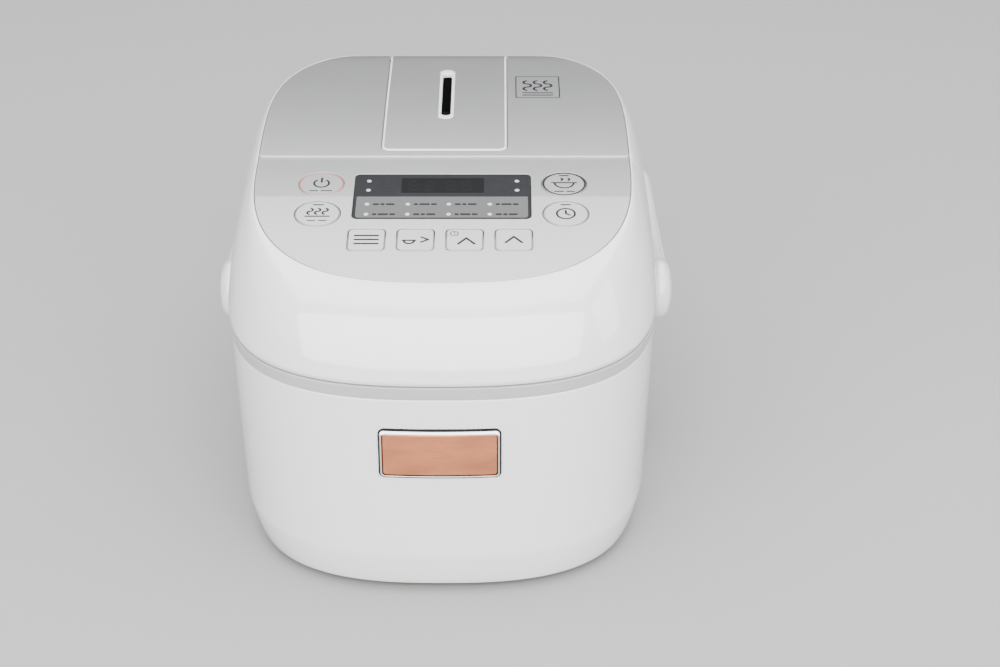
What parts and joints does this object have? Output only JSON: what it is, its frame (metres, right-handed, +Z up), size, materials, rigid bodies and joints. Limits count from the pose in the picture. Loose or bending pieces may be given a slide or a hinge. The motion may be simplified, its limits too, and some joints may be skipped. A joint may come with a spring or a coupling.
{
  "type": "rice cooker",
  "caption": "Countertop rice cooker with a hinged lid, folding carrying handle, lift-out steam cap, sloping control panel with keys and a push-button lid release.",
  "frame": {"origin": "on the floor, in the middle of the whole outline with the lid closed and the handle folded back", "axes": "+Z up, the front with the release button faces -Y, +X is to the right seen from the front"},
  "size_m": [0.2596, 0.3274, 0.1947],
  "materials": {
    "white_gloss": "glossy white moulded plastic",
    "frame_grey": "light grey moulded plastic",
    "trim_light": "light silver trim",
    "base_dark": "dark matte plastic",
    "foot_rubber": "soft black rubber",
    "steel": "plated steel",
    "sheet_steel": "galvanised sheet",
    "pot_coating": "speckled non-stick coating",
    "cast_aluminium": "cast and turned",
    "heater_dark": "oxidised heater sheath",
    "band_mica": "mica band",
    "circuit_board": "solder-masked board",
    "component_black": "moulded components",
    "contact_metal": "plated contact pins",
    "chrome_trim": "polished chrome",
    "copper_plate": "brushed copper-coloured plate",
    "silver_panel": "pale silver glossy film",
    "smoked_window": "smoked glossy window",
    "lcd_grey": "dark liquid crystal display",
    "light_guide": "clear light guides",
    "inner_plastic": "light grey moulded plastic",
    "heater_foil": "foil heater",
    "lid_aluminium": "pressed aluminium plate",
    "silicone": "translucent silicone",
    "steam_box_dark": "dark heat-proof plastic"
  },
  "bodies": {
    "cooker_body": {"body_shell": "white_gloss", "upper_frame": "frame_grey", "base_cover": "base_dark", "feet": "foot_rubber", "base_screws": "steel", "pot_housing": "sheet_steel", "inner_pot": "pot_coating", "heater_plate": "cast_aluminium", "heater_element": "heater_dark", "band_heater": "band_mica", "sensor_bracket": "steel", "sensor_spring": "steel", "power_board": "circuit_board", "power_parts": "component_black", "inlet_housing": "white_gloss", "inlet_pins": "contact_metal", "button_bezel": "chrome_trim", "button_housing": "inner_plastic", "button_springs": "steel", "latch_bracket": "steel", "latch_pin": "steel", "hinge_pin": "steel", "hinge_springs": "steel", "handle_pivots": "frame_grey"},
    "sensor": {"sensor_cup": "cast_aluminium"},
    "release_button": {"open_button": "copper_plate"},
    "latch": {"latch_hook": "steel"},
    "handle": {"handle": "white_gloss"},
    "lid": {"lid_shell": "white_gloss", "top_cover": "silver_panel", "control_panel": "silver_panel", "display_window": "smoked_window", "lcd_module": "lcd_grey", "led_guides": "light_guide", "control_board": "circuit_board", "tact_switches": "component_black", "lid_base": "inner_plastic", "lid_screws": "steel", "lid_catch": "steel", "lid_heater": "heater_foil", "inner_lid": "lid_aluminium", "lid_gasket": "silicone", "steam_well": "inner_plastic", "steam_duct": "silicone"},
    "steam_cap": {"steam_cover": "silver_panel", "slot_trim": "trim_light", "steam_box": "steam_box_dark", "steam_seal": "silicone"},
    "key_cancel": {"key_cancel": "silver_panel"},
    "key_keep_warm": {"key_keep_warm": "silver_panel"},
    "key_cook": {"key_cook": "silver_panel"},
    "key_timer": {"key_timer": "silver_panel"},
    "key_menu": {"key_menu": "silver_panel"},
    "key_course": {"key_course": "silver_panel"},
    "key_hour": {"key_hour": "silver_panel"},
    "key_minute": {"key_minute": "silver_panel"}
  },
  "joints": [
    {"name": "lid_hinge", "type": "hinge", "parent": "cooker_body", "child": "lid", "pos_m": [0, 0.12325, 0.138], "axis": [-1, 0, 0], "range_deg": [0, 85]},
    {"name": "handle_swing", "type": "hinge", "parent": "cooker_body", "child": "handle", "pos_m": [0, -0.00875, 0.104], "axis": [1, 0, 0], "range_deg": [0, 95]},
    {"name": "button_press", "type": "slide", "parent": "cooker_body", "child": "release_button", "axis": [0, 1, 0], "range_m": [0, 0.003], "stiffness_N_per_m": 600, "springref_m": -0.002, "deforming": ["button_springs"]},
    {"name": "latch_swing", "type": "hinge", "parent": "cooker_body", "child": "latch", "pos_m": [0, -0.14275, 0.108], "axis": [1, 0, 0], "range_deg": [0, 10]},
    {"name": "cap_lift", "type": "slide", "parent": "lid", "child": "steam_cap", "axis": [0, 0, 1], "range_m": [0, 0.035]},
    {"name": "sensor_press", "type": "slide", "parent": "cooker_body", "child": "sensor", "axis": [0, 0, -1], "range_m": [0, 0.002], "stiffness_N_per_m": 500, "springref_m": -0.003, "deforming": ["sensor_spring"]},
    {"name": "key_cancel_press", "type": "slide", "parent": "lid", "child": "key_cancel", "axis": [0, 0.0976, -0.9952], "range_m": [0, 0.0004], "stiffness_N_per_m": 300, "springref_m": -0.001},
    {"name": "key_keep_warm_press", "type": "slide", "parent": "lid", "child": "key_keep_warm", "axis": [0, 0.1235, -0.9923], "range_m": [0, 0.0004], "stiffness_N_per_m": 300, "springref_m": -0.001},
    {"name": "key_cook_press", "type": "slide", "parent": "lid", "child": "key_cook", "axis": [0, 0.0976, -0.9952], "range_m": [0, 0.0004], "stiffness_N_per_m": 300, "springref_m": -0.001},
    {"name": "key_timer_press", "type": "slide", "parent": "lid", "child": "key_timer", "axis": [0, 0.1235, -0.9923], "range_m": [0, 0.0004], "stiffness_N_per_m": 300, "springref_m": -0.001},
    {"name": "key_menu_press", "type": "slide", "parent": "lid", "child": "key_menu", "axis": [0, 0.1443, -0.9895], "range_m": [0, 0.0004], "stiffness_N_per_m": 300, "springref_m": -0.001},
    {"name": "key_course_press", "type": "slide", "parent": "lid", "child": "key_course", "axis": [0, 0.1443, -0.9895], "range_m": [0, 0.0004], "stiffness_N_per_m": 300, "springref_m": -0.001},
    {"name": "key_hour_press", "type": "slide", "parent": "lid", "child": "key_hour", "axis": [0, 0.1443, -0.9895], "range_m": [0, 0.0004], "stiffness_N_per_m": 300, "springref_m": -0.001},
    {"name": "key_minute_press", "type": "slide", "parent": "lid", "child": "key_minute", "axis": [0, 0.1443, -0.9895], "range_m": [0, 0.0004], "stiffness_N_per_m": 300, "springref_m": -0.001}
  ],
  "couplings": [
    {"joint": "latch_swing", "follows": "button_press", "rad_per_m": 55.556}
  ]
}
